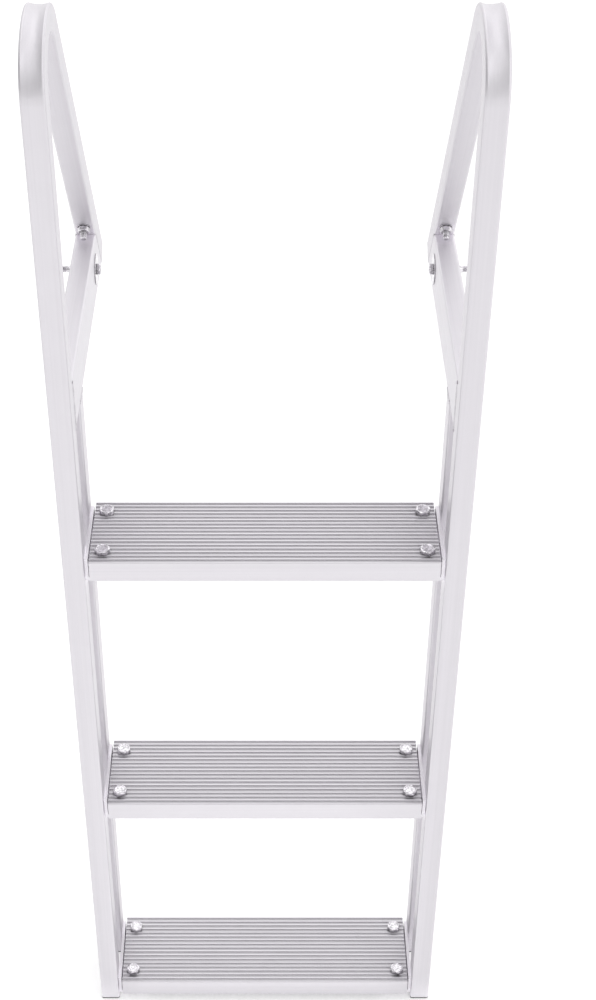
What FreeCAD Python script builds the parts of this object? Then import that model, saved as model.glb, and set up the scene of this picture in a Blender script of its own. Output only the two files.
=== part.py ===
import FreeCAD, Part
import math
import os

# Dock ladder of welded rectangular tube with three bolted ribbed treads.
# Frame: X across the ladder, +Y inland over the deck, +Z up. The origin lies on the underside of the
# left deck beam, in the middle of its width, in line with the dock's side face. Millimetres.

# Side frame tube
TUBE_WIDTH = 25.0
TUBE_DEPTH = 30.0
TUBE_WALL = 2.0
TUBE_CORNER = 2.5

# Side frame layout. The hand rail's top is given as it would be if bending did not flatten the tube
FRAME_DEPTH = 110.0
BEAM_HEIGHT = 64.0
FOOT_DROP = 960.0
HAND_RAIL_TOP = 461.0
BEND_RADIUS = 71.0
LEG_ANGLE = 35.3
BEND_FLATTENING = 6.5
SADDLE_DEPTH = 6.0
BEND_SECTIONS = 11

# Treads, the bottom one set above the feet and the others above each other, from the bottom up
TREAD_LENGTH = 400.0
TREAD_DEPTH = 114.0
BOTTOM_TREAD_RISE = 39.0
TREAD_GAPS = (362.0, 397.0)
TREAD_PLATE = 2.6
TREAD_SKIRT_HEIGHT = 27.5
TREAD_SKIRT_WALL = 2.4
TREAD_RETURN = 9.0
TREAD_WEB_WALL = 2.0
TREAD_WEB_HEIGHT = 9.0
TREAD_EDGE_RADIUS = 1.2
RIB_PITCH = 6.6
RIB_WIDTH = 2.4
RIB_HEIGHT = 1.4
RIB_ROUND = 0.5

# Angle brackets that carry the treads
BRACKET_WALL = 4.0
BRACKET_LENGTH = 100.0
BRACKET_SHELF = 34.0
BRACKET_CORNER = 1.4
BRACKET_LOWERED = 0.8
BRACKET_END_GAP = 1.6

# Fasteners
TREAD_BOLT = 10.0
TREAD_BOLT_INSET = 14.4
TREAD_BOLT_SPACING = 74.0
TREAD_BOLT_STUB = 1.5
TREAD_NUT_HEIGHT = 5.0
RAIL_SCREW = 6.0
RAIL_SCREW_DROP = 13.5
RAIL_SCREW_HEAD = 10.5
RAIL_SCREW_HEAD_HEIGHT = 3.2
RAIL_SCREW_HEAD_ROUND = 2.5
RAIL_SCREW_REACH = 6.0
LEG_BOLT = 8.0
LEG_BOLT_FROM_END = 100.0
LEG_BOLT_STUB = 9.0
CROSS_BOLT = 8.0
CROSS_BOLT_FROM_END = 73.4
CROSS_BOLT_STUB = 32.0
CROSS_WASHER = 38.0
HOLE_PLAY = 0.5
THREAD_DROP = 0.1
THREAD_PLAY = 0.05

# End caps
CAP_FLANGE = 2.0
CAP_PLUG = 14.0
CAP_PLAY = 0.2
CAP_WALL = 2.0

# Hexagon width, head height, nut height and washer size as multiples of the bolt's diameter
HEX_WIDTH = 1.65
HEAD_HEIGHT = 0.56
NUT_HEIGHT = 0.8
WASHER_WIDTH = 2.0
WASHER_HEIGHT = 0.18
TURNED_EDGE = 0.95
TIP_CHAMFER = 0.1

# A bolt's thread runs up from its tip for so many diameters and a little more, and fades over its runout
THREAD_DIAMETERS = 2.0
THREAD_EXTRA = 6.0
THREAD_RUNOUT = 0.15

# Sizes worked out from the ones above
HALF_WIDTH = TUBE_WIDTH / 2
SIDE_INNER = TREAD_LENGTH / 2 + BRACKET_END_GAP + BRACKET_WALL
MIDDLE_X = SIDE_INNER + HALF_WIDTH
FRONT_Y = -FRAME_DEPTH
BEND_Y = FRONT_Y + BEND_RADIUS
BEND_Z = HAND_RAIL_TOP - BEND_RADIUS
BEND_TURN = 180.0 - LEG_ANGLE
TREAD_MIDDLE_Y = -FRAME_DEPTH / 2
BOTTOM_TREAD_TOP = BOTTOM_TREAD_RISE - FOOT_DROP
TREAD_TOPS = (
    BOTTOM_TREAD_TOP,
    BOTTOM_TREAD_TOP + TREAD_GAPS[0],
    BOTTOM_TREAD_TOP + TREAD_GAPS[0] + TREAD_GAPS[1],
)
TREAD_NAMES = ("bottom", "middle", "top")
PLATE_BOTTOM = RIB_HEIGHT + TREAD_PLATE
INNER_CORNER = max(TUBE_CORNER - TUBE_WALL, 0.2)
REACH = 2 * (FOOT_DROP + HAND_RAIL_TOP)
SAME_PLACE = 0.01

X_AXIS = FreeCAD.Vector(1, 0, 0)
Y_AXIS = FreeCAD.Vector(0, 1, 0)
Z_AXIS = FreeCAD.Vector(0, 0, 1)


def vec(x, y, z):
    return FreeCAD.Vector(x, y, z)


def bend_outward(turn):
    """Direction from the bend's centre to the hand rail's outer wall after so many degrees of bend."""
    angle = math.radians(turn)
    return vec(0, -math.cos(angle), math.sin(angle))


def bend_onward(turn):
    """Direction in which the hand rail runs after so many degrees of bend."""
    angle = math.radians(turn)
    return vec(0, math.sin(angle), math.cos(angle))


BEND_CENTRE = vec(0, BEND_Y, BEND_Z)
LEG_OUTWARD = bend_outward(BEND_TURN)
LEG_ONWARD = bend_onward(BEND_TURN)
LEG_START = BEND_CENTRE + LEG_OUTWARD * (BEND_RADIUS - TUBE_DEPTH)
LEG_LENGTH = LEG_START.z / -LEG_ONWARD.z
LEG_END = LEG_START + LEG_ONWARD * LEG_LENGTH


def placed(shape, origin, x_dir, z_dir):
    """Copy of a shape whose own X and Z are turned to the given directions at the given origin."""
    turn = FreeCAD.Rotation(x_dir, z_dir.cross(x_dir), z_dir, "ZXY")
    result = shape.copy()
    result.Placement = FreeCAD.Placement(origin, turn).multiply(result.Placement)
    return result


def rounded_profile(width, low, high, corner, sag=None):
    """Closed wire of a rounded rectangle, X centred, Y from low to high.

    With a sag, the high side is a shallow curve that caves in by that much."""
    half = width / 2
    flat = half - corner
    slant = corner * math.sqrt(0.5)

    def corner_arc(x_side, y_edge, y_side):
        centre = vec(x_side * flat, y_edge - y_side * corner, 0)
        start = centre + vec(x_side * corner, 0, 0)
        middle = centre + vec(x_side * slant, y_side * slant, 0)
        end = centre + vec(0, y_side * corner, 0)
        return start, middle, end

    right_low = corner_arc(1, low, -1)
    right_high = corner_arc(1, high, 1)
    left_high = corner_arc(-1, high, 1)
    left_low = corner_arc(-1, low, -1)
    if sag is None:
        high_side = Part.LineSegment(right_high[2], left_high[2])
    else:
        high_side = Part.BezierCurve()
        high_side.setPoles([right_high[2], vec(0, high - 2 * sag, 0), left_high[2]])
    edges = [
        Part.Arc(right_low[2], right_low[1], right_low[0]).toShape(),
        Part.LineSegment(right_low[0], right_high[0]).toShape(),
        Part.Arc(*right_high).toShape(),
        high_side.toShape(),
        Part.Arc(left_high[2], left_high[1], left_high[0]).toShape(),
        Part.LineSegment(left_high[0], left_low[0]).toShape(),
        Part.Arc(*left_low).toShape(),
        Part.LineSegment(left_low[2], right_low[2]).toShape(),
    ]
    return Part.Wire(edges)


def rounded_bar(width, low, high, corner, length):
    """Straight bar with a rounded rectangular section, along +Z from 0."""
    return Part.Face(rounded_profile(width, low, high, corner)).extrude(vec(0, 0, length))


def straight_tube(width, low, high, length):
    """Straight rectangular tube along +Z from 0."""
    outside = rounded_bar(width, low, high, TUBE_CORNER, length)
    inside = rounded_bar(width - 2 * TUBE_WALL, low + TUBE_WALL, high - TUBE_WALL, INNER_CORNER, length)
    return outside.cut(inside)


def bend_section(turn, inset, corner):
    """Section of the hand rail in its bend, set in from the tube's outside by inset."""
    bent = math.sin(math.pi * turn / BEND_TURN) ** 2
    low = BEND_RADIUS - TUBE_DEPTH + inset
    high = BEND_RADIUS - inset - BEND_FLATTENING * bent
    profile = rounded_profile(TUBE_WIDTH - 2 * inset, low, high, corner, SADDLE_DEPTH * bent)
    return placed(profile, BEND_CENTRE, X_AXIS * -1, bend_onward(turn))


def bend_solid(inset, corner):
    turns = [BEND_TURN * i / (BEND_SECTIONS - 1) for i in range(BEND_SECTIONS)]
    return Part.makeLoft([bend_section(turn, inset, corner) for turn in turns], True, False)


def hand_rail_tube():
    """Front rail, bend and leg as one tube, flattened in the bend with its outer wall caved in."""
    bend = bend_solid(0.0, TUBE_CORNER).cut(bend_solid(TUBE_WALL, INNER_CORNER))
    low = BEND_RADIUS - TUBE_DEPTH
    front = straight_tube(TUBE_WIDTH, low, BEND_RADIUS, BEND_Z + FOOT_DROP - CAP_FLANGE)
    front = placed(front, vec(0, BEND_Y, CAP_FLANGE - FOOT_DROP), X_AXIS * -1, Z_AXIS)
    leg = straight_tube(TUBE_WIDTH, low, BEND_RADIUS, LEG_LENGTH - CAP_FLANGE)
    leg = placed(leg, BEND_CENTRE, X_AXIS * -1, LEG_ONWARD)
    return front.fuse([bend, leg]).removeSplitter()


def bore(centre, direction, diameter, length=REACH):
    """Cylinder through a centre point, to be cut away as a hole."""
    start = centre - direction * (length / 2)
    return Part.makeCylinder(diameter / 2, length, start, direction)


def hexagon_bar(diameter, height):
    """Hexagonal head or nut along +Z from 0, with its upper corners turned off."""
    across = diameter * HEX_WIDTH
    radius = across / math.sqrt(3)
    angles = [math.radians(60 * i) for i in range(7)]
    corners = [vec(radius * math.cos(angle), radius * math.sin(angle), 0) for angle in angles]
    bar = Part.Face(Part.makePolygon(corners)).extrude(vec(0, 0, height))
    top_radius = across / 2 * TURNED_EDGE
    cone = Part.makeCone(top_radius + height * math.sqrt(3), top_radius, height)
    return bar.common(cone)


def washer(diameter, outside=None):
    """Flat washer along +Z from 0."""
    height = diameter * WASHER_HEIGHT
    across = outside or diameter * WASHER_WIDTH
    ring = Part.makeCylinder(across / 2, height)
    return ring.cut(Part.makeCylinder(diameter / 2 + HOLE_PLAY / 2, height))


def hex_bolt(diameter, length):
    """Hexagon bolt: shank along -Z from 0, running out to a slightly thinner thread, and head along +Z."""
    threaded = THREAD_DIAMETERS * diameter + THREAD_EXTRA
    chamfer = diameter * TIP_CHAMFER
    runout = diameter * THREAD_RUNOUT
    radius = diameter / 2 - THREAD_DROP
    plain = Part.makeCylinder(diameter / 2, length - threaded, vec(0, 0, threaded - length))
    neck = Part.makeCone(radius, diameter / 2, runout, vec(0, 0, threaded - runout - length))
    thread = Part.makeCylinder(radius, threaded - runout - chamfer, vec(0, 0, chamfer - length))
    tip = Part.makeCone(radius - chamfer, radius, chamfer, vec(0, 0, -length))
    head = hexagon_bar(diameter, diameter * HEAD_HEIGHT)
    return head.fuse([plain, neck, thread, tip]).removeSplitter()


def hex_nut(diameter, height):
    """Hexagon nut along +Z from 0."""
    hole = Part.makeCylinder(diameter / 2 - THREAD_DROP + THREAD_PLAY, height)
    return hexagon_bar(diameter, height).cut(hole)


def leg_bolt_axis():
    """Point on the leg's front face where its bolt comes out."""
    return LEG_END - LEG_ONWARD * LEG_BOLT_FROM_END


def cross_bolt_axis():
    """Middle of the deck beam where the cross bolt passes."""
    return vec(0, LEG_END.y - CROSS_BOLT_FROM_END, BEAM_HEIGHT / 2)


def rail_screw_points(top):
    """Places of a bracket's two screws in a side frame, one in the middle of each tube."""
    front = FRONT_Y + TUBE_DEPTH / 2
    rear = -TUBE_DEPTH / 2
    return [vec(0, y, top - RAIL_SCREW_DROP) for y in (front, rear)]


def inner_wall_holes(inward):
    """Holes in the tubes' inner walls for the bracket screws."""
    shift = X_AXIS * (inward * HALF_WIDTH)
    size = RAIL_SCREW + 2 * THREAD_PLAY
    points = [point + shift for top in TREAD_TOPS for point in rail_screw_points(top)]
    return [bore(point, X_AXIS, size, 4 * TUBE_WALL) for point in points]


def hand_rail(inward):
    tube = hand_rail_tube()
    bolt_hole = bore(leg_bolt_axis(), LEG_OUTWARD, LEG_BOLT + HOLE_PLAY, 4 * TUBE_DEPTH)
    return tube.cut([bolt_hole] + inner_wall_holes(inward))


def deck_beam(inward):
    """Horizontal tube that lies on the deck, from the front rail to the leg's slanted face.

    Its faces are divided at Y 0, so that the stretch that rests on the deck has an underside of its own."""
    start = FRONT_Y + TUBE_DEPTH
    over_rail = straight_tube(TUBE_WIDTH, 0, BEAM_HEIGHT, -start)
    over_rail = placed(over_rail, vec(0, start, 0), X_AXIS * -1, Y_AXIS)
    over_deck = placed(straight_tube(TUBE_WIDTH, 0, BEAM_HEIGHT, REACH), vec(0, 0, 0), X_AXIS * -1, Y_AXIS)
    tube = over_rail.fuse(over_deck)
    behind_leg = Part.makeBox(REACH, REACH, 2 * REACH)
    behind_leg.translate(vec(-REACH / 2, 0, -REACH))
    behind_leg = placed(behind_leg, LEG_END, X_AXIS, LEG_ONWARD * -1)
    return tube.cut([behind_leg, bore(cross_bolt_axis(), X_AXIS, CROSS_BOLT + HOLE_PLAY)])


def rear_rail(inward):
    """Upright tube against the dock's side, under the deck beam."""
    length = FOOT_DROP - CAP_FLANGE
    tube = straight_tube(TUBE_WIDTH, -TUBE_DEPTH, 0, length)
    tube = placed(tube, vec(0, 0, -length), X_AXIS, Z_AXIS)
    return tube.cut(inner_wall_holes(inward))


def end_cap():
    """Moulded plug for a tube's end: flange from 0 to -Z, hollow plug up into the tube along +Z."""
    half = TUBE_DEPTH / 2
    flange = rounded_bar(TUBE_WIDTH, -half, half, TUBE_CORNER, CAP_FLANGE)
    flange.translate(vec(0, 0, -CAP_FLANGE))
    inset = TUBE_WALL + CAP_PLAY
    plug = rounded_bar(TUBE_WIDTH - 2 * inset, inset - half, half - inset, INNER_CORNER, CAP_PLUG)
    inset += CAP_WALL
    core = Part.makeBox(TUBE_WIDTH - 2 * inset, TUBE_DEPTH - 2 * inset, CAP_PLUG)
    core.translate(vec(inset - HALF_WIDTH, inset - half, 0))
    return flange.fuse(plug.cut(core))


def front_foot_cap(inward):
    return placed(end_cap(), vec(0, FRONT_Y + TUBE_DEPTH / 2, CAP_FLANGE - FOOT_DROP), X_AXIS, Z_AXIS)


def rear_foot_cap(inward):
    return placed(end_cap(), vec(0, -TUBE_DEPTH / 2, CAP_FLANGE - FOOT_DROP), X_AXIS, Z_AXIS)


def leg_cap(inward):
    middle = LEG_END + LEG_OUTWARD * (TUBE_DEPTH / 2) - LEG_ONWARD * CAP_FLANGE
    return placed(end_cap(), middle, X_AXIS, LEG_ONWARD * -1)


def leg_bolt(inward):
    """Bolt through the leg with its head behind and its threaded end in front."""
    height = LEG_BOLT * WASHER_HEIGHT
    length = TUBE_DEPTH + 2 * height + LEG_BOLT * NUT_HEIGHT + LEG_BOLT_STUB
    top = leg_bolt_axis() + LEG_OUTWARD * (TUBE_DEPTH + height)
    return placed(hex_bolt(LEG_BOLT, length), top, X_AXIS, LEG_OUTWARD)


def leg_washers(inward):
    behind = placed(washer(LEG_BOLT), leg_bolt_axis() + LEG_OUTWARD * TUBE_DEPTH, X_AXIS, LEG_OUTWARD)
    before = placed(washer(LEG_BOLT), leg_bolt_axis(), X_AXIS, LEG_OUTWARD * -1)
    return Part.makeCompound([behind, before])


def leg_nut(inward):
    start = leg_bolt_axis() - LEG_OUTWARD * (LEG_BOLT * WASHER_HEIGHT)
    return placed(hex_nut(LEG_BOLT, LEG_BOLT * NUT_HEIGHT), start, X_AXIS, LEG_OUTWARD * -1)


def cross_bolt(inward):
    """Long bolt across the deck beam with its head on the ladder's inner side."""
    inner = X_AXIS * inward
    height = CROSS_BOLT * WASHER_HEIGHT
    start = cross_bolt_axis() + inner * (HALF_WIDTH + height)
    bolt = hex_bolt(CROSS_BOLT, TUBE_WIDTH + height + CROSS_BOLT_STUB)
    return placed(bolt, start, Z_AXIS, inner)


def cross_washer(inward):
    inner = X_AXIS * inward
    start = cross_bolt_axis() + inner * HALF_WIDTH
    return placed(washer(CROSS_BOLT, CROSS_WASHER), start, Z_AXIS, inner)


def rib_starts():
    """Places of the ribs' first edges across a tread, as many as fit evenly between its skirts."""
    room = TREAD_DEPTH - 2 * TREAD_SKIRT_WALL
    count = int((room - RIB_WIDTH) // RIB_PITCH)
    first = -((count - 1) * RIB_PITCH + RIB_WIDTH) / 2
    return [first + i * RIB_PITCH for i in range(count)]


def strip(start, end, low, high):
    """Flat rectangle of a tread's section, from start to end across it and from low to high."""
    return Part.makePlane(end - start, high - low, vec(start, low, 0))


def channel_section():
    """Section of a tread without its webs: X across the tread, Y up, with its rib tops at 0."""
    half = TREAD_DEPTH / 2
    inner = half - TREAD_SKIRT_WALL
    floor = TREAD_SKIRT_WALL - TREAD_SKIRT_HEIGHT
    lip = inner - TREAD_RETURN
    starts = [-inner] + [start + RIB_WIDTH for start in rib_starts()]
    ends = rib_starts() + [inner]
    removed = [strip(start, end, -RIB_HEIGHT, RIB_HEIGHT) for start, end in zip(starts, ends)]
    removed.append(strip(-inner, inner, floor, -PLATE_BOTTOM))
    removed.append(strip(-lip, lip, -TREAD_SKIRT_HEIGHT - TREAD_SKIRT_WALL, floor + TREAD_SKIRT_WALL))
    return strip(-half, half, -TREAD_SKIRT_HEIGHT, 0).cut(removed)


def web_sections():
    """Sections of the two webs that stiffen a tread's plate from below."""
    low = -PLATE_BOTTOM - TREAD_WEB_HEIGHT
    high = -RIB_HEIGHT - TREAD_PLATE / 2
    inner = TREAD_DEPTH / 2 - TREAD_SKIRT_WALL
    starts = [side * inner / 3 - TREAD_WEB_WALL / 2 for side in (-1, 1)]
    return [strip(start, start + TREAD_WEB_WALL, low, high) for start in starts]


def tread_bolt_points(top):
    reach = TREAD_LENGTH / 2 - TREAD_BOLT_INSET
    return [
        vec(MIDDLE_X + x * reach, TREAD_MIDDLE_Y + y * TREAD_BOLT_SPACING / 2, top)
        for x in (-1, 1)
        for y in (-1, 1)
    ]


def tread_bolt_bores(top, length):
    return [bore(point, Z_AXIS, TREAD_BOLT + HOLE_PLAY, length) for point in tread_bolt_points(top)]


def long_edges(bar, wanted):
    """Edges along a tread that are wanted by their distance from its middle line and their height."""
    edges = [edge for edge in bar.Edges if edge.BoundBox.ZLength > TREAD_LENGTH / 2]
    return [edge for edge in edges if wanted(abs(edge.BoundBox.Center.x), edge.BoundBox.Center.y)]


def tread(top):
    """Ribbed channel extrusion with its four bolt holes."""
    along = vec(0, 0, TREAD_LENGTH)
    webs = [section.extrude(along) for section in web_sections()]
    bar = channel_section().extrude(along).fuse(webs).removeSplitter()
    half = TREAD_DEPTH / 2
    rib_edges = long_edges(bar, lambda across, up: abs(up) < SAME_PLACE and across < half - SAME_PLACE)
    bar = bar.makeFillet(RIB_ROUND, rib_edges)
    side_edges = long_edges(bar, lambda across, up: abs(across - half) < SAME_PLACE)
    bar = bar.makeFillet(TREAD_EDGE_RADIUS, side_edges)
    bar = placed(bar, vec(MIDDLE_X - TREAD_LENGTH / 2, TREAD_MIDDLE_Y, top), Y_AXIS, X_AXIS)
    return bar.cut(tread_bolt_bores(top, TREAD_SKIRT_HEIGHT))


def tread_bolts(top):
    """The four bolts that clamp a tread between their heads and the bracket shelves."""
    length = TREAD_SKIRT_HEIGHT + BRACKET_WALL + TREAD_NUT_HEIGHT + TREAD_BOLT_STUB
    bolt = hex_bolt(TREAD_BOLT, length)
    return Part.makeCompound([placed(bolt, point, X_AXIS, Z_AXIS) for point in tread_bolt_points(top)])


def tread_nuts(top):
    below = Z_AXIS * (TREAD_SKIRT_HEIGHT + BRACKET_WALL)
    nut = hex_nut(TREAD_BOLT, TREAD_NUT_HEIGHT)
    return Part.makeCompound(
        [placed(nut, point - below, X_AXIS, Z_AXIS * -1) for point in tread_bolt_points(top)]
    )


def bracket(top, inward):
    """Angle whose upright lies on both tubes and whose shelf carries a tread's end."""
    low = top - TREAD_SKIRT_HEIGHT - BRACKET_WALL
    start_y = TREAD_MIDDLE_Y - BRACKET_LENGTH / 2

    def corner(reach, z):
        return vec(inward * (HALF_WIDTH + reach), start_y, z)

    outline = [
        corner(0, low),
        corner(0, top - BRACKET_LOWERED),
        corner(BRACKET_WALL, top - BRACKET_LOWERED),
        corner(BRACKET_WALL, low + BRACKET_WALL),
        corner(BRACKET_WALL + BRACKET_SHELF, low + BRACKET_WALL),
        corner(BRACKET_WALL + BRACKET_SHELF, low),
        corner(0, low),
    ]
    angle = Part.Face(Part.makePolygon(outline)).extrude(Y_AXIS * BRACKET_LENGTH)
    along = Y_AXIS * (BRACKET_LENGTH / 2)
    bends = [
        edge
        for edge in angle.Edges
        for place in (outline[0], outline[3])
        if (edge.BoundBox.Center - place - along).Length < SAME_PLACE
    ]
    angle = angle.makeFillet(BRACKET_CORNER, bends)
    shift = X_AXIS * (inward * HALF_WIDTH)
    size = RAIL_SCREW + HOLE_PLAY
    screw_holes = [bore(point + shift, X_AXIS, size, 4 * BRACKET_WALL) for point in rail_screw_points(top)]
    bolt_holes = tread_bolt_bores(top, 4 * TREAD_SKIRT_HEIGHT)
    for hole in bolt_holes:
        hole.translate(X_AXIS * (MIDDLE_X * (inward - 1)))
    return angle.cut(screw_holes + bolt_holes)


def rail_screw():
    """Button-headed screw: shank along -Z from 0 through bracket and tube wall, head along +Z."""
    radius = RAIL_SCREW_HEAD / 2
    head = Part.makeCylinder(radius, RAIL_SCREW_HEAD_HEIGHT)
    rim = [edge for edge in head.Edges if edge.BoundBox.ZMin > RAIL_SCREW_HEAD_HEIGHT / 2]
    head = head.makeFillet(RAIL_SCREW_HEAD_ROUND, rim)
    length = BRACKET_WALL + TUBE_WALL + RAIL_SCREW_REACH
    shank = Part.makeCylinder(RAIL_SCREW / 2, length, vec(0, 0, -length))
    return head.fuse(shank).removeSplitter()


def rail_screws(top, inward):
    shift = X_AXIS * (inward * (HALF_WIDTH + BRACKET_WALL))
    screw = rail_screw()
    return [placed(screw, point + shift, Z_AXIS, X_AXIS * inward) for point in rail_screw_points(top)]


def on_right(shape):
    """Copy of a side frame's piece at the right side frame."""
    result = shape.copy()
    result.translate(vec(2 * MIDDLE_X, 0, 0))
    return result


SIDE_PIECES = {
    "hand_rail": hand_rail,
    "deck_beam": deck_beam,
    "rear_rail": rear_rail,
    "front_foot_cap": front_foot_cap,
    "rear_foot_cap": rear_foot_cap,
    "leg_cap": leg_cap,
    "leg_bolt": leg_bolt,
    "leg_washers": leg_washers,
    "leg_nut": leg_nut,
    "cross_bolt": cross_bolt,
    "cross_washer": cross_washer,
}


def side_frames():
    nodes = {}
    for name, make in SIDE_PIECES.items():
        nodes[name + "_left"] = make(1)
        nodes[name + "_right"] = on_right(make(-1))
    return nodes


def tread_sets():
    nodes = {}
    for name, top in zip(TREAD_NAMES, TREAD_TOPS):
        nodes["tread_" + name] = tread(top)
        nodes["tread_bolts_" + name] = tread_bolts(top)
        nodes["tread_nuts_" + name] = tread_nuts(top)
        nodes["bracket_" + name + "_left"] = bracket(top, 1)
        nodes["bracket_" + name + "_right"] = on_right(bracket(top, -1))
        right_screws = [on_right(screw) for screw in rail_screws(top, -1)]
        nodes["rail_screws_" + name] = Part.makeCompound(rail_screws(top, 1) + right_screws)
    return nodes


def main():
    os.makedirs("parts", exist_ok=True)
    nodes = side_frames()
    nodes.update(tread_sets())
    for name, shape in nodes.items():
        shape.exportStep("parts/" + name + ".step")
        print(name, len(shape.Solids), round(shape.Volume / 1000, 1), shape.isValid())


main()
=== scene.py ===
import math

import bmesh
import bpy
from mathutils import Matrix, Vector


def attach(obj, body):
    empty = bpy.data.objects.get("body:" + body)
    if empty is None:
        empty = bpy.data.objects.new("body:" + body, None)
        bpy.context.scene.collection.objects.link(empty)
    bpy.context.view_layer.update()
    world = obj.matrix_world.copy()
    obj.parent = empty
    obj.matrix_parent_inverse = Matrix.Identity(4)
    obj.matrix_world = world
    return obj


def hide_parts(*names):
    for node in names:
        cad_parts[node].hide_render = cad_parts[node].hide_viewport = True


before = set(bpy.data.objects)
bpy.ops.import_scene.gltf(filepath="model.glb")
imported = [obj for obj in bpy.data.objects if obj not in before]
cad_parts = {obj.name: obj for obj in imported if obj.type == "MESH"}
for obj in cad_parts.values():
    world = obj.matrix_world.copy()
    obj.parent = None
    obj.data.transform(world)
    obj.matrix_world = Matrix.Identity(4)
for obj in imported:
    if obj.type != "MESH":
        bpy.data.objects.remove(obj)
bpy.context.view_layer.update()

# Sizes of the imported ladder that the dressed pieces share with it, in metres and degrees
TUBE_WIDTH = 0.025
TUBE_DEPTH = 0.030
TUBE_CORNER = 0.0025
FRAME_DEPTH = 0.110
BEAM_HEIGHT = 0.064
FOOT_DROP = 0.960
HAND_RAIL_TOP = 0.461
BEND_RADIUS = 0.071
LEG_ANGLE = 35.3
FRAME_SPACING = 0.4362
TREAD_LENGTH = 0.400
TREAD_TOPS = {"top": -0.162, "middle": -0.559, "bottom": -0.921}
TREAD_SKIRT_HEIGHT = 0.0275
RIB_HEIGHT = 0.0014
BRACKET_WALL = 0.004

# The ladder's bolts: diameters, places and how far they stand out of their nuts or tubes
TREAD_BOLT = 0.010
TREAD_BOLT_INSET = 0.0144
TREAD_BOLT_SPACING = 0.074
TREAD_BOLT_STUB = 0.0015
TREAD_NUT_HEIGHT = 0.005
LEG_BOLT = 0.008
LEG_BOLT_FROM_END = 0.100
LEG_BOLT_STUB = 0.009
CROSS_BOLT = 0.008
CROSS_BOLT_FROM_END = 0.0734
CROSS_BOLT_STUB = 0.032
THREAD_DROP = 0.0001
THREAD_PLAY = 0.00005

# Sizes of heads, nuts and washers as multiples of the bolt's diameter
HEX_WIDTH = 1.65
HEAD_HEIGHT = 0.56
NUT_HEIGHT = 0.8
WASHER_HEIGHT = 0.18
TIP_CHAMFER = 0.1

# Shapes that only the dressed bolts and nuts have: threads, turned corners, washer faces, dished heads
FASTENER_SEGMENTS = 48
TREAD_PITCH = 0.0015
TREAD_THREAD = 0.012
FRAME_PITCH = 0.00125
FRAME_THREAD = 0.022
THREAD_DEPTH = 0.54
THREAD_ROWS = 8
THREAD_END = 0.0002
TIP_WIDTH = 0.82
TURNED_EDGE = 0.95
RUBBED_CORNER = 0.965
TURNING_SLOPE = math.radians(30)
WASHER_FACE = ((0.0, 0.47), (0.0002, 0.475), (0.0003, 0.477))
HEAD_FOOT = 0.00035
HEAD_DISH = ((0.0, 0.41), (0.0005, 0.37), (0.0006, 0.2))
NUT_FACE = 0.9
NUT_FACE_HEIGHT = 0.0001
NUT_MOUTH = 1.08
NUT_MOUTH_DEPTH = 0.0004

# Each bolt head stands turned by its own angle, as fastened by hand
HEAD_TURNS = (12.0, 47.0, 31.0, 5.0, 22.0, 54.0, 38.0, 17.0, 9.0, 43.0, 26.0, 58.0)

# Weld beads, each with its half width, its rise and the length of a ripple
FRONT_BEAD = (0.0036, 0.0013, 0.0024)
REAR_BEAD = (0.0034, 0.0013, 0.0024)
LEG_BEAD = (0.0026, 0.0008, 0.0022)
BEAD_STEP = 0.0004
BEAD_SINK = 0.0004
LEG_BEAD_SINK = 0.0003
BEAD_COLUMNS = (-1.0, -0.9, -0.72, -0.48, -0.24, 0.0, 0.24, 0.48, 0.72, 0.9, 1.0)
ROOT_COLUMNS = (0.8, 0.0, -0.8)
ROOT_DEPTH = 0.35
RIPPLE_SHARE = 0.26
TAPER_START = 0.35
TAPER_STEPS = 12
LEG_CORNER_TURNS = 12
LEG_STEPS_BELOW = 3
LEG_STEPS_ABOVE = 8

# The camera, fitted to the photograph
CAMERA_PLACE = (FRAME_SPACING / 2, -1.6128, 1.0700)
CAMERA_TILT = 52.72
CAMERA_LENS = 61.68
CAMERA_SHIFT = 0.0331

# Places worked out from the sizes
MIDDLE_X = FRAME_SPACING / 2
BEND_TURN = math.radians(180.0 - LEG_ANGLE)
BEND_CENTRE = Vector((0, BEND_RADIUS - FRAME_DEPTH, HAND_RAIL_TOP - BEND_RADIUS))
LEG_ONWARD = Vector((0, math.sin(BEND_TURN), math.cos(BEND_TURN)))
LEG_OUTWARD = Vector((0, -math.cos(BEND_TURN), math.sin(BEND_TURN)))
LEG_START = BEND_CENTRE + LEG_OUTWARD * (BEND_RADIUS - TUBE_DEPTH)
LEG_END = LEG_START + LEG_ONWARD * (LEG_START.z / -LEG_ONWARD.z)

# Each side frame's place across the ladder and the way to the ladder's middle
SIDES = {"left": (0.0, 1), "right": (FRAME_SPACING, -1)}


# Shader building


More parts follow.
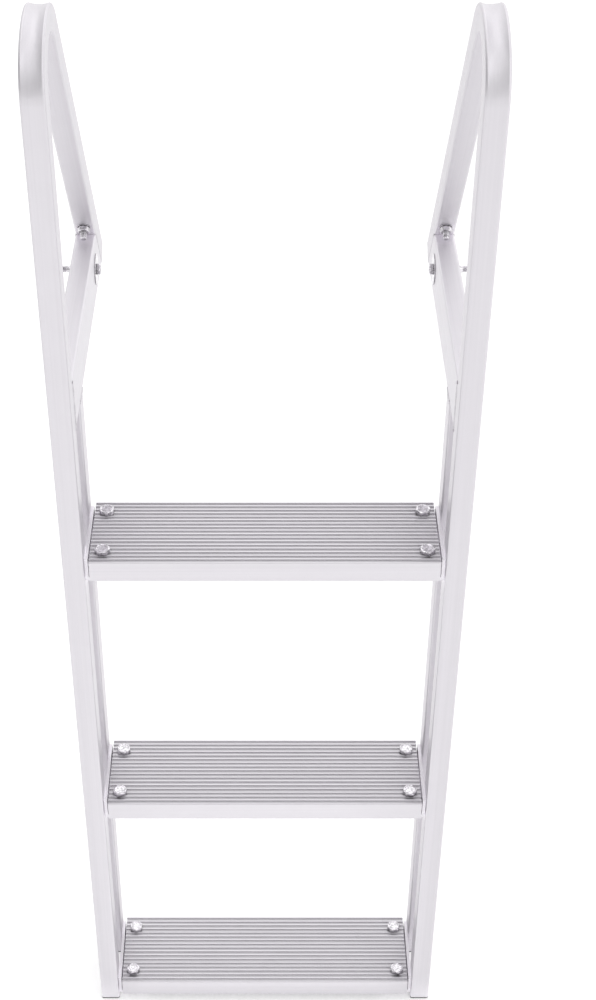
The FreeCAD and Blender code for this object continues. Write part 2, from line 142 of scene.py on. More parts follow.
class Graph:
    """Short calls for the nodes of one material or world."""

    def __init__(self, owner):
        owner.use_nodes = True
        owner.node_tree.nodes.clear()
        self.owner = owner
        self.tree = owner.node_tree

    def add(self, kind, inputs=(), **settings):
        made = self.tree.nodes.new(kind)
        for key, value in settings.items():
            setattr(made, key, value)
        for key, value in dict(inputs).items():
            self.feed(made.inputs[key], value)
        return made

    def feed(self, socket, value):
        if isinstance(value, bpy.types.NodeSocket):
            self.tree.links.new(value, socket)
        else:
            socket.default_value = value

    def math(self, operation, first, second=0.0, third=0.0):
        made = self.add("ShaderNodeMath", {0: first, 1: second, 2: third}, operation=operation)
        return made.outputs[0]

    def times(self, first, second):
        return self.math("MULTIPLY", first, second)

    def ramp(self, value, low, high, to_low=0.0, to_high=1.0):
        """A straight slope from to_low at low to to_high at high, flat past both ends."""
        inputs = {
            "Value": value,
            "From Min": low,
            "From Max": high,
            "To Min": to_low,
            "To Max": to_high,
        }
        return self.add("ShaderNodeMapRange", inputs, clamp=True).outputs["Result"]

    def mix(self, factor, first, second):
        made = self.add("ShaderNodeMix", data_type="RGBA")
        self.feed(made.inputs["Factor"], factor)
        self.feed(made.inputs[6], first)
        self.feed(made.inputs[7], second)
        return made.outputs[2]

    def noise(self, place, scale, detail=2.0, roughness=0.5, distortion=0.0):
        """Noise of one scale, or of three scales that stretch it along the axes."""
        if isinstance(scale, tuple):
            stretched = self.add("ShaderNodeVectorMath", {0: place, 1: scale}, operation="MULTIPLY")
            place = stretched.outputs[0]
            scale = 1.0
        inputs = {
            "Vector": place,
            "Scale": scale,
            "Detail": detail,
            "Roughness": roughness,
            "Distortion": distortion,
        }
        return self.add("ShaderNodeTexNoise", inputs).outputs["Fac"]

    def bump(self, height, strength, distance, normal=None):
        inputs = {"Height": height, "Strength": strength, "Distance": distance}
        if normal is not None:
            inputs["Normal"] = normal
        return self.add("ShaderNodeBump", inputs).outputs["Normal"]

    def position(self):
        return self.add("ShaderNodeTexCoord").outputs["Object"]

    def true_normal(self):
        return self.add("ShaderNodeNewGeometry").outputs["Normal"]

    def rounded_normal(self, radius):
        return self.add("ShaderNodeBevel", {"Radius": radius}, samples=6).outputs["Normal"]

    def openness(self, distance):
        """1 on open surfaces, down to 0 in hollows that are narrower than the distance."""
        return self.add("ShaderNodeAmbientOcclusion", {"Distance": distance}, samples=6).outputs["AO"]

    def parts(self, vector):
        made = self.add("ShaderNodeSeparateXYZ", {0: vector})
        return made.outputs[0], made.outputs[1], made.outputs[2]

    def joined(self, x, y, z):
        return self.add("ShaderNodeCombineXYZ", {0: x, 1: y, 2: z}).outputs[0]

    def edge_wear_and_highlight(self, radius, low, high):
        """1 on edges, from how far a rounded normal leaves the true one; the materials brighten these
        edges where rubbed and as painted edge highlights.
        """
        normals = {0: self.rounded_normal(radius), 1: self.true_normal()}
        both = self.add("ShaderNodeVectorMath", normals, operation="DOT_PRODUCT")
        return self.ramp(both.outputs["Value"], high, low)

    def finish(self, inputs):
        shader = self.add("ShaderNodeBsdfPrincipled", inputs)
        self.add("ShaderNodeOutputMaterial", {"Surface": shader.outputs[0]})
        return self.owner


def along(order):
    """A function that gives the position with its axes in this order, the piece's length last."""

    def place(graph):
        parts = graph.parts(graph.position())
        return graph.joined(*[parts["XYZ".index(axis)] for axis in order])

    return place


def along_hand_rail(graph):
    """Position across and along the hand rail: up the front rail, round the bend, down the leg."""
    x, y, z = graph.parts(graph.position())
    back = graph.math("SUBTRACT", y, BEND_CENTRE.y)
    rise = graph.math("SUBTRACT", z, BEND_CENTRE.z)
    radius = BEND_RADIUS - TUBE_DEPTH / 2
    squares = graph.math("ADD", graph.math("POWER", back, 2.0), graph.math("POWER", rise, 2.0))
    outward = graph.math("SQRT", squares)
    turned = graph.math("ARCTAN2", rise, graph.times(back, -1.0))
    bend_along = graph.times(turned, radius)
    leg_along = graph.math("MULTIPLY_ADD", back, LEG_ONWARD.y, graph.times(rise, LEG_ONWARD.z))
    leg_across = graph.math("MULTIPLY_ADD", back, LEG_OUTWARD.y, graph.times(rise, LEG_OUTWARD.z))
    leg_path = graph.math("ADD", leg_along, BEND_TURN * radius)
    below = graph.math("LESS_THAN", rise, 0.0)
    ahead = graph.math("LESS_THAN", back, 0.0)
    on_front = graph.times(below, ahead)
    past_bend = graph.math("GREATER_THAN", leg_along, 0.0)
    on_leg = graph.times(past_bend, graph.math("SUBTRACT", 1.0, on_front))

    def chosen(front, leg, bend):
        return graph.mix(on_front, graph.mix(on_leg, bend, leg), front)

    across = chosen(graph.times(back, -1.0), leg_across, outward)
    return graph.joined(x, across, chosen(rise, leg_path, bend_along))


# Materials


WHITE = (1.0, 1.0, 1.0, 1.0)
ALUMINIUM_METALLIC = 0.7


def tinted(tone, share=1.0):
    """The metals' grey, a trace violet, at a share of its tone."""
    return (tone * share * 1.015, tone * share * 0.985, tone * share * 1.035, 1.0)


def groove_floors(graph):
    """1 on the floors of the treads' grooves, where the tread material paints shade."""
    height = graph.parts(graph.position())[2]
    facing_up = graph.parts(graph.true_normal())[2]
    floors = 0.0
    for top in TREAD_TOPS.values():
        off = graph.math("ABSOLUTE", graph.math("SUBTRACT", height, top - RIB_HEIGHT))
        floors = graph.math("ADD", floors, graph.ramp(off, 0.0008, 0.0003))
    return graph.times(floors, graph.ramp(facing_up, 0.6, 0.9))


def streaked(graph, place, lines, tone):
    """Streaks between the tone and a duller one, with a few dull clouds over them."""
    dull = tinted(tone, 0.94)
    bands = graph.noise(place, (90.0, 90.0, 0.8))
    clouds = graph.noise(graph.position(), 9.0, detail=5.0, roughness=0.6, distortion=0.4)
    streaks = graph.math("MULTIPLY_ADD", lines, 0.5, graph.times(bands, 0.5))
    colour = graph.mix(graph.ramp(streaks, 0.35, 0.65), dull, tinted(tone))
    return graph.mix(graph.ramp(clouds, 0.42, 0.72, 0.0, 0.12), colour, dull)


def shaded(graph, colour, tone, hollow_shade, painted_corner_light, groove):
    """Paints shade into narrow hollows and onto groove floors, and paints light into wide inner
    corners, each by its share.
    """
    if hollow_shade:
        # Painted shade: darkens narrow hollows, found by ambient occlusion.
        hollows = graph.ramp(graph.openness(0.003), 0.35, 0.95, hollow_shade, 0.0)
        colour = graph.mix(hollows, colour, tinted(tone, 0.2))
    if painted_corner_light:
        # Painted light: brightens wide inner corners, found by ambient occlusion, in place of light
        # bounced between the pieces.
        corners = graph.ramp(graph.openness(0.06), 0.3, 0.9, painted_corner_light, 0.0)
        colour = graph.mix(corners, colour, tinted(0.96))
    if groove:
        # Painted shade: darkens the treads' groove floors.
        floors = graph.times(groove_floors(graph), groove)
        colour = graph.mix(floors, colour, tinted(tone, 0.35))
    return colour


def aluminium(
    name,
    place_of,
    tone=0.7,
    roughness=0.4,
    line_bump=0.15,
    bright_edge_radius=0.0012,
    bright_edge_share=0.5,
    hollow_shade=0.0,
    groove=0.0,
    painted_corner_light=0.0,
):
    """Satin aluminium with fine lines along the piece, cloudy patches, specks, nicks, and edges
    brightened where rubbed and as painted edge highlights.

    Its last three shares paint shade into narrow hollows, paint shade onto the floors of the treads'
    grooves, and paint light into wide inner corners in place of light bounced between the pieces."""
    graph = Graph(bpy.data.materials.new(name))
    place = place_of(graph)
    plain = graph.position()
    fine = graph.noise(place, (2600.0, 2600.0, 9.0), detail=3.0, roughness=0.6)
    lines = graph.noise(place, (420.0, 420.0, 2.2), detail=4.0, roughness=0.55)
    haze = graph.noise(plain, 38.0, detail=4.0, roughness=0.55, distortion=0.8)
    specks = graph.ramp(graph.noise(plain, 900.0, roughness=0.7), 0.66, 0.76)
    chips = graph.noise(place, (260.0, 260.0, 60.0), detail=6.0, roughness=0.75, distortion=2.0)
    nicks = graph.ramp(chips, 0.69, 0.74)
    bright_edges = graph.edge_wear_and_highlight(bright_edge_radius, 0.86, 0.99)

    dark = tinted(tone, 0.64)
    colour = streaked(graph, place, lines, tone)
    colour = graph.mix(graph.times(specks, 0.35), colour, dark)
    colour = graph.mix(graph.times(nicks, 0.3), colour, dark)
    colour = shaded(graph, colour, tone, hollow_shade, painted_corner_light, groove)
    # Edges brightened, partly where rubbed and partly as painted edge highlights; on the treads,
    # painted highlights on the rib crests.
    colour = graph.mix(graph.times(bright_edges, bright_edge_share), colour, tinted(0.96))

    grain = graph.math("MULTIPLY_ADD", fine, 0.6, graph.times(haze, 0.4))
    rough = graph.ramp(grain, 0.3, 0.7, roughness - 0.06, roughness + 0.08)
    rough = graph.math("MULTIPLY_ADD", specks, 0.12, rough)
    rough = graph.math("MULTIPLY_ADD", bright_edges, -0.08, rough)
    normal = graph.bump(lines, line_bump, 0.00006, graph.rounded_normal(0.0004))
    normal = graph.bump(fine, line_bump, 0.000012, normal)
    normal = graph.bump(nicks, 0.3, 0.00003, normal)
    looks = {"Base Color": colour, "Roughness": rough, "Normal": normal}
    return graph.finish({**looks, "Metallic": ALUMINIUM_METALLIC})


def stainless(name):
    """Bright stainless steel with painted cloudy reflections, stains, painted shade in hollows, and
    edges brightened where rubbed and as painted highlights.
    """
    graph = Graph(bpy.data.materials.new(name))
    plain = graph.position()
    clouds = graph.noise(plain, 260.0, detail=3.0, roughness=0.6, distortion=0.8)
    grain = graph.noise(plain, 1800.0, detail=3.0, roughness=0.65)
    spots = graph.noise(plain, 320.0, detail=3.0, roughness=0.6, distortion=1.5)
    stains = graph.ramp(spots, 0.58, 0.72, 0.0, 0.35)
    hollows = graph.ramp(graph.openness(0.007), 0.35, 0.8, 0.9, 0.0)
    bright_edges = graph.edge_wear_and_highlight(0.0005, 0.9, 0.995)
    # Painted reflections: cloudy dark and bright patches stand in for the surroundings mirrored in the
    # steel.
    colour = graph.mix(graph.ramp(clouds, 0.38, 0.62), tinted(0.44), tinted(0.84))
    colour = graph.mix(stains, colour, tinted(0.22))
    # Painted shade: darkens hollows, found by ambient occlusion.
    colour = graph.mix(hollows, colour, tinted(0.08))
    # Edges brightened, partly where rubbed and partly as painted edge highlights.
    colour = graph.mix(graph.times(bright_edges, 0.9), colour, tinted(0.97))
    rough = graph.ramp(grain, 0.3, 0.7, 0.08, 0.2)
    normal = graph.bump(grain, 0.2, 0.00002, graph.rounded_normal(0.00025))
    return graph.finish({"Base Color": colour, "Metallic": 1.0, "Roughness": rough, "Normal": normal})


def weld_metal(name):
    """Aluminium weld with a grey, slightly sooty skin in patches."""
    graph = Graph(bpy.data.materials.new(name))
    plain = graph.position()
    clouds = graph.noise(plain, 160.0, detail=4.0, roughness=0.6, distortion=0.6)
    grain = graph.noise(plain, 1500.0, detail=3.0, roughness=0.7)
    colour = graph.mix(graph.ramp(clouds, 0.35, 0.7), tinted(0.5), tinted(0.68))
    colour = graph.mix(graph.ramp(grain, 0.6, 0.75, 0.0, 0.35), colour, tinted(0.35))
    rough = graph.ramp(clouds, 0.3, 0.7, 0.3, 0.5)
    normal = graph.bump(grain, 0.35, 0.00004)
    looks = {"Base Color": colour, "Roughness": rough, "Normal": normal}
    return graph.finish({**looks, "Metallic": ALUMINIUM_METALLIC})


def moulded_plastic(name, tone):
    """Dark grey moulded plastic with a fine grain, scuffs and paler rubbed edges."""
    graph = Graph(bpy.data.materials.new(name))
    plain = graph.position()
    grain = graph.noise(plain, 1400.0, detail=3.0, roughness=0.6)
    clouds = graph.noise(plain, 60.0, detail=4.0, roughness=0.6, distortion=0.5)
    rubbed = graph.noise(plain, (220.0, 60.0, 400.0), detail=5.0, roughness=0.7, distortion=1.5)
    scuffs = graph.ramp(rubbed, 0.62, 0.72, 0.0, 0.3)
    bright_edges = graph.edge_wear_and_highlight(0.0008, 0.86, 0.99)
    light = (tone, tone, tone * 1.02, 1.0)
    deep = (tone * 0.72, tone * 0.72, tone * 0.74, 1.0)
    colour = graph.mix(graph.ramp(clouds, 0.35, 0.65), deep, light)
    colour = graph.mix(scuffs, colour, (0.4, 0.4, 0.41, 1.0))
    colour = graph.mix(graph.times(bright_edges, 0.25), colour, (0.45, 0.45, 0.45, 1.0))
    rough = graph.ramp(grain, 0.3, 0.7, 0.42, 0.62)
    normal = graph.bump(grain, 0.3, 0.00005)
    looks = {"Base Color": colour, "Roughness": rough, "Normal": normal}
    return graph.finish({**looks, "Specular IOR Level": 0.4})


# The hand rail and beam get painted light in their wide inner corners.
HAND_RAIL_METAL = aluminium("hand_rail_aluminium", along_hand_rail, tone=0.675, painted_corner_light=1.0)
UPRIGHT_METAL = aluminium("upright_aluminium", along("XYZ"))
BEAM_METAL = aluminium("beam_aluminium", along("XZY"), tone=0.71, painted_corner_light=1.0)
# The treads get painted shade in narrow hollows and on groove floors, and rib crests brightened fully,
# partly where rubbed and partly as painted highlights.
TREAD_METAL = aluminium(
    "tread_aluminium",
    along("YZX"),
    tone=0.68,
    roughness=0.36,
    bright_edge_radius=0.0007,
    bright_edge_share=1.0,
    hollow_shade=0.15,
    groove=0.42,
)
# The brackets get painted light in their wide inner corners.
BRACKET_METAL = aluminium(
    "bracket_aluminium",
    along("XZY"),
    tone=0.66,
    roughness=0.42,
    line_bump=0.3,
    painted_corner_light=1.0,
)
STAINLESS = stainless("stainless_steel")
WELD_METAL = weld_metal("weld_aluminium")
CAP_PLASTIC = moulded_plastic("end_cap_plastic", 0.12)

NODE_MATERIALS = {
    "hand_rail": HAND_RAIL_METAL,
    "deck_beam": BEAM_METAL,
    "rear_rail": UPRIGHT_METAL,
    "tread_top": TREAD_METAL,
    "tread_middle": TREAD_METAL,
    "tread_bottom": TREAD_METAL,
    "bracket": BRACKET_METAL,
    "front_foot_cap": CAP_PLASTIC,
    "rear_foot_cap": CAP_PLASTIC,
    "leg_cap": CAP_PLASTIC,
}


def dress_cad_nodes():
    """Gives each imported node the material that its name's first words call for, or else steel."""
    for name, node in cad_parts.items():
        material = STAINLESS
        for start, metal in NODE_MATERIALS.items():
            if name.startswith(start):
                material = metal
        node.data.materials.clear()
        node.data.materials.append(material)


# Mesh building


def grid_faces(rows, columns, wrap_rows):
    """Faces between rows of points; each row closes on itself, and the rows do too if they wrap."""
    last = rows if wrap_rows else rows - 1
    faces = []
    for row in range(last):
        here = row * columns
        below = (row + 1) % rows * columns
        for column in range(columns):
            after = (column + 1) % columns
            faces.append((here + column, here + after, below + after, below + column))
    return faces


def build_object(name, parts, material, replaced=(), sharp_angle=32.0):
    """One mesh object from several parts, smooth but for edges over the angle, riding on the ladder."""
    points, faces = [], []
    for part_points, part_faces in parts:
        base = len(points)
        points.extend(part_points)
        faces.extend(tuple(base + index for index in face) for face in part_faces)
    mesh = bpy.data.meshes.new(name)
    mesh.from_pydata([tuple(point) for point in points], [], faces)
    shaped = bmesh.new()
    shaped.from_mesh(mesh)
    bmesh.ops.recalc_face_normals(shaped, faces=shaped.faces)
    for face in shaped.faces:
        face.smooth = True
    for edge in shaped.edges:
        if len(edge.link_faces) == 2 and edge.calc_face_angle(0.0) > math.radians(sharp_angle):
            edge.smooth = False
    shaped.to_mesh(mesh)
    shaped.free()
    mesh.materials.append(material)
    made = bpy.data.objects.new(name, mesh)
    bpy.context.scene.collection.objects.link(made)
    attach(made, "root")
    if replaced:
        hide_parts(*replaced)
    return made


# Bolts and nuts


def turned_part(rows, matrix, closed=False):
    """A shape round Z, moved by the matrix; each row is a height and a radius, or a radius by angle.

    A closed shape joins its last row to its first, as a nut does through its hole."""
    points = []
    for height, radius in rows:
        for index in range(FASTENER_SEGMENTS):
            angle = 2 * math.pi * index / FASTENER_SEGMENTS
            reach = radius(angle) if callable(radius) else radius
            points.append(Vector((reach * math.cos(angle), reach * math.sin(angle), height)))
    faces = grid_faces(len(rows), FASTENER_SEGMENTS, closed)
    if not closed:
        for row in (0, len(rows) - 1):
            centre = len(points)
            points.append(Vector((0, 0, rows[row][0])))
            first = row * FASTENER_SEGMENTS
            for index in range(FASTENER_SEGMENTS):
                after = (index + 1) % FASTENER_SEGMENTS
                faces.append((centre, first + index, first + after))
    return [matrix @ point for point in points], faces


def hexagon(across, widest=math.inf):
    """Radius of a hexagon by angle, its corners rubbed down and turned off at the widest radius."""
    apothem = across / 2
    limit = min(apothem / math.cos(math.pi / 6) * RUBBED_CORNER, widest)

    def radius(angle):
        turned = (angle + math.pi / 6) % (math.pi / 3) - math.pi / 6
        return min(apothem / math.cos(math.pi / 6 - abs(turned)), limit)

    return radius


def hex_rows(diameter, low, high, turned_below):
    """Rows of a hexagon from low to high, its corners turned off above and, on a nut, below too."""
    across = diameter * HEX_WIDTH
    narrow = across / 2 * TURNED_EDGE
    reach = across / 2 * (1 / math.cos(math.pi / 6) - TURNED_EDGE)
    corner = []
    for step in (0.0, 0.25, 0.5, 0.75, 1.0):
        inset = reach * step * math.tan(TURNING_SLOPE)
        corner.append((inset, hexagon(across, narrow + reach * step)))
    if turned_below:
        rows = [(low + inset, shape) for inset, shape in corner]
    else:
        rows = [(low, hexagon(across))]
    return rows + [(high - inset, shape) for inset, shape in reversed(corner)]


def thread_rows(radius, pitch, low, high):
    """Rows of a screw thread; its groove climbs with the angle and fades out at both ends."""
    depth = pitch * THREAD_DEPTH
    count = int((high - low) / pitch * THREAD_ROWS)
    rows = []
    for index in range(count + 1):
        height = low + (high - low) * index / count
        fade = min(1.0, min(height - low, high - height) / pitch * 1.5)

        def reach(angle, height=height, fade=fade):
            # 1 on the groove's narrow floor, sloping to 0 on the crest
            phase = (height / pitch - angle / (2 * math.pi)) % 1.0
            cut = max(0.0, min(1.0, 1.25 - abs(phase * 2 - 1) * 1.5))
            return radius - depth * cut * fade

        rows.append((height, reach))
    return rows


def bolt_part(diameter, length, threaded, pitch, matrix):
    """Hexagon bolt: shank along -Z from 0, then a washer face and a head with a dished top."""
    head = diameter * HEAD_HEIGHT
    across = diameter * HEX_WIDTH
    radius = diameter / 2
    crest = radius - THREAD_DROP
    thread_low = diameter * TIP_CHAMFER - length
    thread_high = threaded - length
    rows = [(-length, crest * TIP_WIDTH), (thread_low, crest)]
    rows += thread_rows(crest, pitch, thread_low, thread_high)
    rows += [(thread_high + THREAD_END, radius), (0.0, radius)]
    rows += [(height, across * share) for height, share in WASHER_FACE]
    rows += hex_rows(diameter, HEAD_FOOT, head, False)
    rows += [(head - drop, across * share) for drop, share in HEAD_DISH]
    return turned_part(rows, matrix)


def nut_part(diameter, height, matrix):
    """Hexagon nut along +Z from 0, turned at both ends, with a plain hole that the thread fills."""
    hole = diameter / 2 - THREAD_DROP + THREAD_PLAY
    mouth = diameter / 2 * NUT_MOUTH
    face = diameter * HEX_WIDTH / 2 * NUT_FACE
    rows = [(0.0, mouth), (0.0, face)]
    rows += hex_rows(diameter, NUT_FACE_HEIGHT, height - NUT_FACE_HEIGHT, True)
    rows += [(height, face), (height, mouth)]
    rows += [(height - NUT_MOUTH_DEPTH, hole), (NUT_MOUTH_DEPTH, hole)]
    return turned_part(rows, matrix, closed=True)


def placing(origin, z_dir, x_dir):
    """Matrix that turns Z and X to the given directions and moves 0 to the origin."""
    z_dir = Vector(z_dir).normalized()
    x_dir = Vector(x_dir)
    x_dir = (x_dir - z_dir * x_dir.dot(z_dir)).normalized()
    y_dir = z_dir.cross(x_dir)
    turned = Matrix((x_dir, y_dir, z_dir)).transposed().to_4x4()
    return Matrix.Translation(Vector(origin)) @ turned


def turned_x(degrees):
    angle = math.radians(degrees)
    return Vector((math.cos(angle), math.sin(angle), 0.0))


def tread_bolt_places(level):
    """The four places on a tread's top where its bolt heads sit."""
    reach = TREAD_LENGTH / 2 - TREAD_BOLT_INSET
    places = []
    for across in (-1, 1):
        for inland in (-1, 1):
            y = -FRAME_DEPTH / 2 + inland * TREAD_BOLT_SPACING / 2
            places.append(Vector((MIDDLE_X + across * reach, y, TREAD_TOPS[level])))
    return places


def dress_tread_fasteners():
    turns = list(HEAD_TURNS)
    clamped = TREAD_SKIRT_HEIGHT + BRACKET_WALL
    length = clamped + TREAD_NUT_HEIGHT + TREAD_BOLT_STUB
    for level in TREAD_TOPS:
        bolts, nuts = [], []
        for place in tread_bolt_places(level):
            x_dir = turned_x(turns.pop())
            above = placing(place, (0, 0, 1), x_dir)
            below = placing(place - Vector((0, 0, clamped)), (0, 0, -1), x_dir)
            bolts.append(bolt_part(TREAD_BOLT, length, TREAD_THREAD, TREAD_PITCH, above))
            nuts.append(nut_part(TREAD_BOLT, TREAD_NUT_HEIGHT, below))
        build_object("hex_bolts_" + level, bolts, STAINLESS, ["tread_bolts_" + level])
        build_object("hex_nuts_" + level, nuts, STAINLESS, ["tread_nuts_" + level])


def dress_leg_bolt(side, x):
    """The bolt through the leg, its head on the upper side and its nut underneath."""
    washer = LEG_BOLT * WASHER_HEIGHT
    height = LEG_BOLT * NUT_HEIGHT
    length = TUBE_DEPTH + 2 * washer + height + LEG_BOLT_STUB
    place = Vector((x, 0, 0)) + LEG_END - LEG_ONWARD * LEG_BOLT_FROM_END
    above = placing(place + LEG_OUTWARD * (TUBE_DEPTH + washer), LEG_OUTWARD, (1, 0, 0))
    below = placing(place - LEG_OUTWARD * washer, LEG_OUTWARD * -1, (1, 0, 0))
    bolt = bolt_part(LEG_BOLT, length, FRAME_THREAD, FRAME_PITCH, above)
    nut = nut_part(LEG_BOLT, height, below)
    build_object("leg_hex_bolt_" + side, [bolt], STAINLESS, ["leg_bolt_" + side])
    build_object("leg_hex_nut_" + side, [nut], STAINLESS, ["leg_nut_" + side])


def dress_cross_bolt(side, x, inward):
    """The long bolt through the deck beam, its head on the beam's inner side."""
    washer = CROSS_BOLT * WASHER_HEIGHT
    length = TUBE_WIDTH + washer + CROSS_BOLT_STUB
    head_x = x + inward * (TUBE_WIDTH / 2 + washer)
    start = Vector((head_x, LEG_END.y - CROSS_BOLT_FROM_END, BEAM_HEIGHT / 2))
    matrix = placing(start, (inward, 0, 0), (0, 0, 1))
    bolt = bolt_part(CROSS_BOLT, length, FRAME_THREAD, FRAME_PITCH, matrix)
    build_object("cross_hex_bolt_" + side, [bolt], STAINLESS, ["cross_bolt_" + side])


def dress_frame_fasteners():
    for side, (x, inward) in SIDES.items():
        dress_leg_bolt(side, x)
        dress_cross_bolt(side, x, inward)


# Weld beads


def bead_swell(travelled, seed):
    """How a bead that is laid by hand grows and shrinks along its way."""
    slow = 0.10 * math.sin(travelled * 310 + seed)
    quick = 0.07 * math.sin(travelled * 730 + 2 * seed)
    return 1.0 + slow + quick


def bead_ripple(travelled, pitch, column, seed):
    """0 to 1 over each ripple, which lags behind in the bead's middle."""
    lag = 0.55 * (1 - column * column)
    uneven = 0.15 * math.sin(seed + travelled * 200)
    return abs(math.sin(math.pi * (travelled / pitch - lag + uneven)))


def bead_parts(points, normals, bead, closed, seed):
    """A rippled weld bead along a line of points; each cross-section bulges along its normal."""
    half_width, rise, pitch = bead
    count = len(points)
    made = []
    travelled = 0.0
    for index, point in enumerate(points):
        before = points[(index - 1) % count] if closed or index else point
        after = points[(index + 1) % count] if closed or index < count - 1 else point
        onward = (after - before).normalized()
        normal = (normals[index] - onward * normals[index].dot(onward)).normalized()
        across = onward.cross(normal)
        travelled += (point - before).length if index else 0.0
        from_end = count if closed else min(index, count - 1 - index)
        ends = min(1.0, TAPER_START + from_end / TAPER_STEPS)
        swell = bead_swell(travelled, seed) * ends
        for column in BEAD_COLUMNS:
            ripple = bead_ripple(travelled, pitch, column, seed)
            bulge = (1 - column * column) ** 0.6 * (1 - RIPPLE_SHARE * (1 - ripple))
            sideways = across * (column * half_width * swell)
            made.append(point + sideways + normal * (rise * bulge * swell))
        for column in ROOT_COLUMNS:
            sideways = across * (column * half_width * ends)
            made.append(point + sideways - normal * (half_width * ROOT_DEPTH))
    width = len(BEAD_COLUMNS) + len(ROOT_COLUMNS)
    faces = grid_faces(count, width, closed)
    if not closed:
        faces.append(tuple(range(width)))
        faces.append(tuple((count - 1) * width + index for index in range(width)))
    return made, faces


def outline_loop(half_a, half_b):
    """Points and outward directions round a tube's outline, evenly along each side and corner."""
    corner = TUBE_CORNER
    points, normals = [], []
    corners = ((1, 1), (-1, 1), (-1, -1), (1, -1))
    for index, (side_a, side_b) in enumerate(corners):
        centre = Vector((side_a * (half_a - corner), side_b * (half_b - corner)))
        start = math.atan2(side_b, side_a) - math.pi / 4
        turns = max(2, int(corner * math.pi / 2 / BEAD_STEP))
        for turn in range(turns + 1):
            angle = start + math.pi / 2 * turn / turns
            direction = Vector((math.cos(angle), math.sin(angle)))
            points.append(centre + direction * corner)
            normals.append(direction)
        following = corners[(index + 1) % len(corners)]
        target = Vector((following[0] * (half_a - corner), following[1] * (half_b - corner)))
        stops = int((target - centre).length / BEAD_STEP)
        for stop in range(1, stops):
            points.append(centre.lerp(target, stop / stops) + normals[-1] * corner)
            normals.append(normals[-1].copy())
    return points, normals


def sunk(points, normals, depth):
    """The line of points moved into the metal, so that the bead's edges meet it."""
    return [point - normal * depth for point, normal in zip(points, normals)]


def beam_front_weld(x, seed):
    """Round the deck beam's end, where it butts on the back of the front rail."""
    flat, outward = outline_loop(TUBE_WIDTH / 2, BEAM_HEIGHT / 2)
    y = TUBE_DEPTH - FRAME_DEPTH
    points = [Vector((x + a.x, y, BEAM_HEIGHT / 2 + a.y)) for a in flat]
    normals = [Vector((n.x, abs(n.y), n.y)).normalized() for n in outward]
    return bead_parts(sunk(points, normals, BEAD_SINK), normals, FRONT_BEAD, True, seed)


def rear_rail_weld(x, seed):
    """Round the rear rail's top, where it butts under the deck beam."""
    flat, outward = outline_loop(TUBE_WIDTH / 2, TUBE_DEPTH / 2)
    points = [Vector((x + a.x, -TUBE_DEPTH / 2 + a.y, 0)) for a in flat]
    normals = [Vector((n.x, n.y, -abs(n.y))).normalized() for n in outward]
    return bead_parts(sunk(points, normals, BEAD_SINK), normals, REAR_BEAD, True, seed)


def leg_corners(crest, valley, side):
    """Places and outward directions round a top corner of the beam's slanted end, from its side up."""
    half = TUBE_WIDTH / 2
    corner = []
    for turn in range(LEG_CORNER_TURNS + 1):
        angle = math.pi / 2 * turn / LEG_CORNER_TURNS
        across = half - TUBE_CORNER + TUBE_CORNER * math.cos(angle)
        drop = TUBE_CORNER * (1 - math.sin(angle))
        place = crest + LEG_ONWARD * drop + Vector((side * across, 0, 0))
        outward = Vector((side, 0, 0)) * math.cos(angle) + valley * math.sin(angle)
        corner.append((place, outward.normalized()))
    return corner


def leg_weld(x, seed):
    """Up one side, over the top and down the other side of the deck beam's slanted end on the leg."""
    half = TUBE_WIDTH / 2
    length = BEAM_HEIGHT / -LEG_ONWARD.z
    crest = LEG_END - LEG_ONWARD * length
    valley = (Vector((0, -1, 0)) - LEG_ONWARD).normalized()
    steps = int(length / BEAD_STEP)
    used = range(LEG_STEPS_BELOW, steps - LEG_STEPS_ABOVE)
    climb = [LEG_END - LEG_ONWARD * (length * step / steps) for step in used]
    right = Vector((1, 0, 0))
    line = [(place + right * half, right) for place in climb]
    line += leg_corners(crest, valley, 1)
    stops = int((TUBE_WIDTH - 2 * TUBE_CORNER) / BEAD_STEP)
    for stop in range(1, stops):
        across = (half - TUBE_CORNER) * (1 - 2 * stop / stops)
        line.append((crest + right * across, valley))
    line += reversed(leg_corners(crest, valley, -1))
    line += [(place - right * half, -right) for place in reversed(climb)]
    points = [place + right * x for place, _ in line]
    normals = [outward for _, outward in line]
    return bead_parts(sunk(points, normals, LEG_BEAD_SINK), normals, LEG_BEAD, False, seed)


def dress_welds():
    """The three beads of each side frame, each with its own unevenness."""
    welds = {
        "weld_beam_front_": beam_front_weld,
        "weld_rear_rail_": rear_rail_weld,
        "weld_leg_": leg_weld,
    }
    for side, (x, inward) in SIDES.items():
        seed = 1.7 + inward
        for name, weld in welds.items():
            build_object(name + side, [weld(x, seed)], WELD_METAL, sharp_angle=60.0)
            seed += 2


# Stage


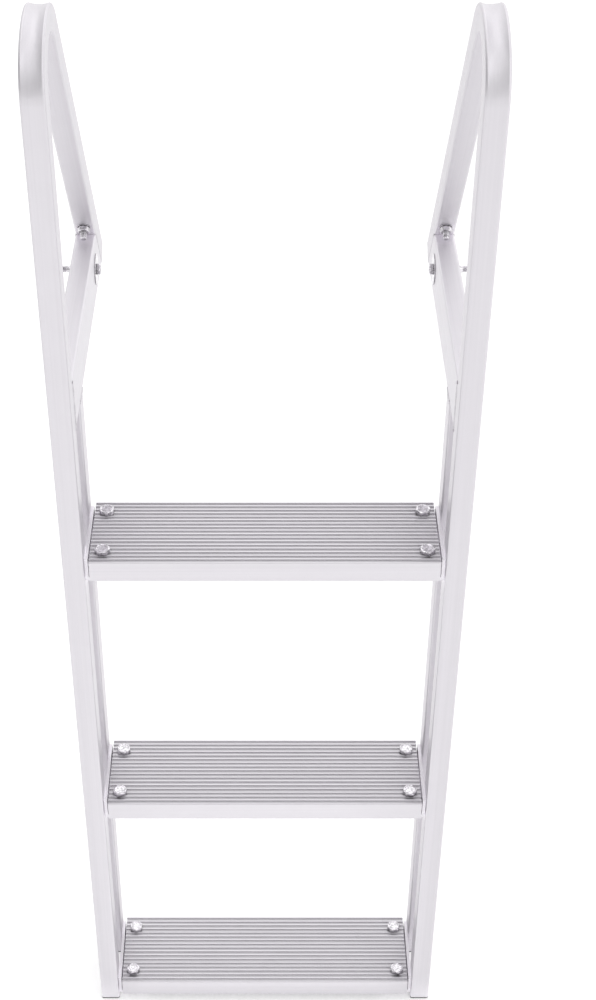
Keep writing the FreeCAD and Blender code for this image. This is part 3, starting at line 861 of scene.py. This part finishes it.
def floor_paper():
    """Matt white paper that glows as painted light, most just ahead of the treads, and is clear from
    below.
    """
    graph = Graph(bpy.data.materials.new("studio_floor_paper"))
    x, y, _ = graph.parts(graph.position())
    grain = graph.noise(graph.position(), 3.0)
    # Painted light: the paper glows more just ahead of the treads between the rails, where the ladder
    # shades the floor and the treads' front faces mirror it, and more to the left than to the right.
    between_rails = graph.ramp(graph.math("ABSOLUTE", x), 0.21, 0.17)
    near = graph.times(between_rails, graph.ramp(y, -0.8, -0.25, 0.0, 0.25))
    ahead = graph.times(graph.ramp(y, -0.115, -0.14), graph.math("ADD", near, 0.08))
    left_to_right = graph.ramp(x, -0.5, 0.5, 0.36, 0.27)
    inputs = {
        "Base Color": graph.mix(grain, (0.78, 0.78, 0.78, 1.0), (0.81, 0.81, 0.81, 1.0)),
        "Roughness": 0.9,
        "Specular IOR Level": 0.0,
        "Emission Color": WHITE,
        "Emission Strength": graph.math("ADD", ahead, left_to_right),
    }
    paper = graph.add("ShaderNodeBsdfPrincipled", inputs).outputs[0]
    clear = graph.add("ShaderNodeBsdfTransparent").outputs[0]
    from_below = graph.add("ShaderNodeNewGeometry").outputs["Backfacing"]
    surface = graph.add("ShaderNodeMixShader", {0: from_below, 1: paper, 2: clear}).outputs[0]
    graph.add("ShaderNodeOutputMaterial", {"Surface": surface})
    return graph.owner


def studio_floor():
    """A broad sheet just under the feet."""
    half = 20.0
    gap = 0.0005
    mesh = bpy.data.meshes.new("studio_floor")
    corners = [(-half, -half, 0), (half, -half, 0), (half, half, 0), (-half, half, 0)]
    mesh.from_pydata(corners, [], [(0, 1, 2, 3)])
    mesh.materials.append(floor_paper())
    made = bpy.data.objects.new("studio_floor", mesh)
    made.location = (MIDDLE_X, 0, -FOOT_DROP - gap)
    bpy.context.scene.collection.objects.link(made)


def area_light(name, place, target, size, power):
    light = bpy.data.lights.new(name, "AREA")
    light.shape = "RECTANGLE"
    light.size = size[0]
    light.size_y = size[1]
    light.energy = power
    made = bpy.data.objects.new(name, light)
    made.location = place
    made.rotation_euler = (Vector(target) - Vector(place)).to_track_quat("-Z", "Y").to_euler()
    bpy.context.scene.collection.objects.link(made)


def studio_world():
    """White overhead and behind, dimmer to the left and in front, and plain white as a backdrop."""
    graph = Graph(bpy.data.worlds.new("studio"))
    bpy.context.scene.world = graph.owner
    x, y, z = graph.parts(graph.add("ShaderNodeTexCoord").outputs["Generated"])
    overhead = graph.ramp(z, 0.35, 0.95)
    level = graph.ramp(x, -0.75, 0.75, 0.2, 0.86)
    side = graph.times(level, graph.math("SUBTRACT", 1.0, overhead))
    behind = graph.times(graph.ramp(y, 0.0, 0.7), graph.ramp(x, -0.3, 0.3, 1.15, 0.85))
    front = graph.times(graph.ramp(y, 0.0, -0.8), graph.ramp(z, 0.95, 0.2))
    strength = graph.math("ADD", overhead, side)
    strength = graph.math("MULTIPLY_ADD", behind, 0.65, strength)
    strength = graph.math("MULTIPLY_ADD", front, 0.22, strength)
    backdrop = graph.add("ShaderNodeLightPath").outputs["Is Camera Ray"]
    missing = graph.math("SUBTRACT", 1.0, strength)
    strength = graph.math("MULTIPLY_ADD", backdrop, missing, strength)
    background = graph.add("ShaderNodeBackground", {"Color": WHITE, "Strength": strength})
    graph.add("ShaderNodeOutputWorld", {"Surface": background.outputs[0]})


def studio_lights():
    area_light("key_softbox", (3.4, -1.6, 1.6), (MIDDLE_X, 0, -0.2), (3.0, 4.4), 21.0)
    area_light("top_softbox", (MIDDLE_X, -0.6, 3.4), (MIDDLE_X, 0, -0.4), (4.5, 4.0), 12.0)


def camera():
    data = bpy.data.cameras.new("camera")
    data.sensor_fit = "VERTICAL"
    data.sensor_height = 36.0
    data.lens = CAMERA_LENS
    data.shift_x = CAMERA_SHIFT
    made = bpy.data.objects.new("camera", data)
    made.location = CAMERA_PLACE
    made.rotation_euler = (math.radians(CAMERA_TILT), 0, 0)
    bpy.context.scene.collection.objects.link(made)
    bpy.context.scene.camera = made
    bpy.context.scene.view_settings.view_transform = "Standard"


dress_cad_nodes()
dress_tread_fasteners()
dress_frame_fasteners()
dress_welds()
studio_floor()
studio_world()
studio_lights()
camera()
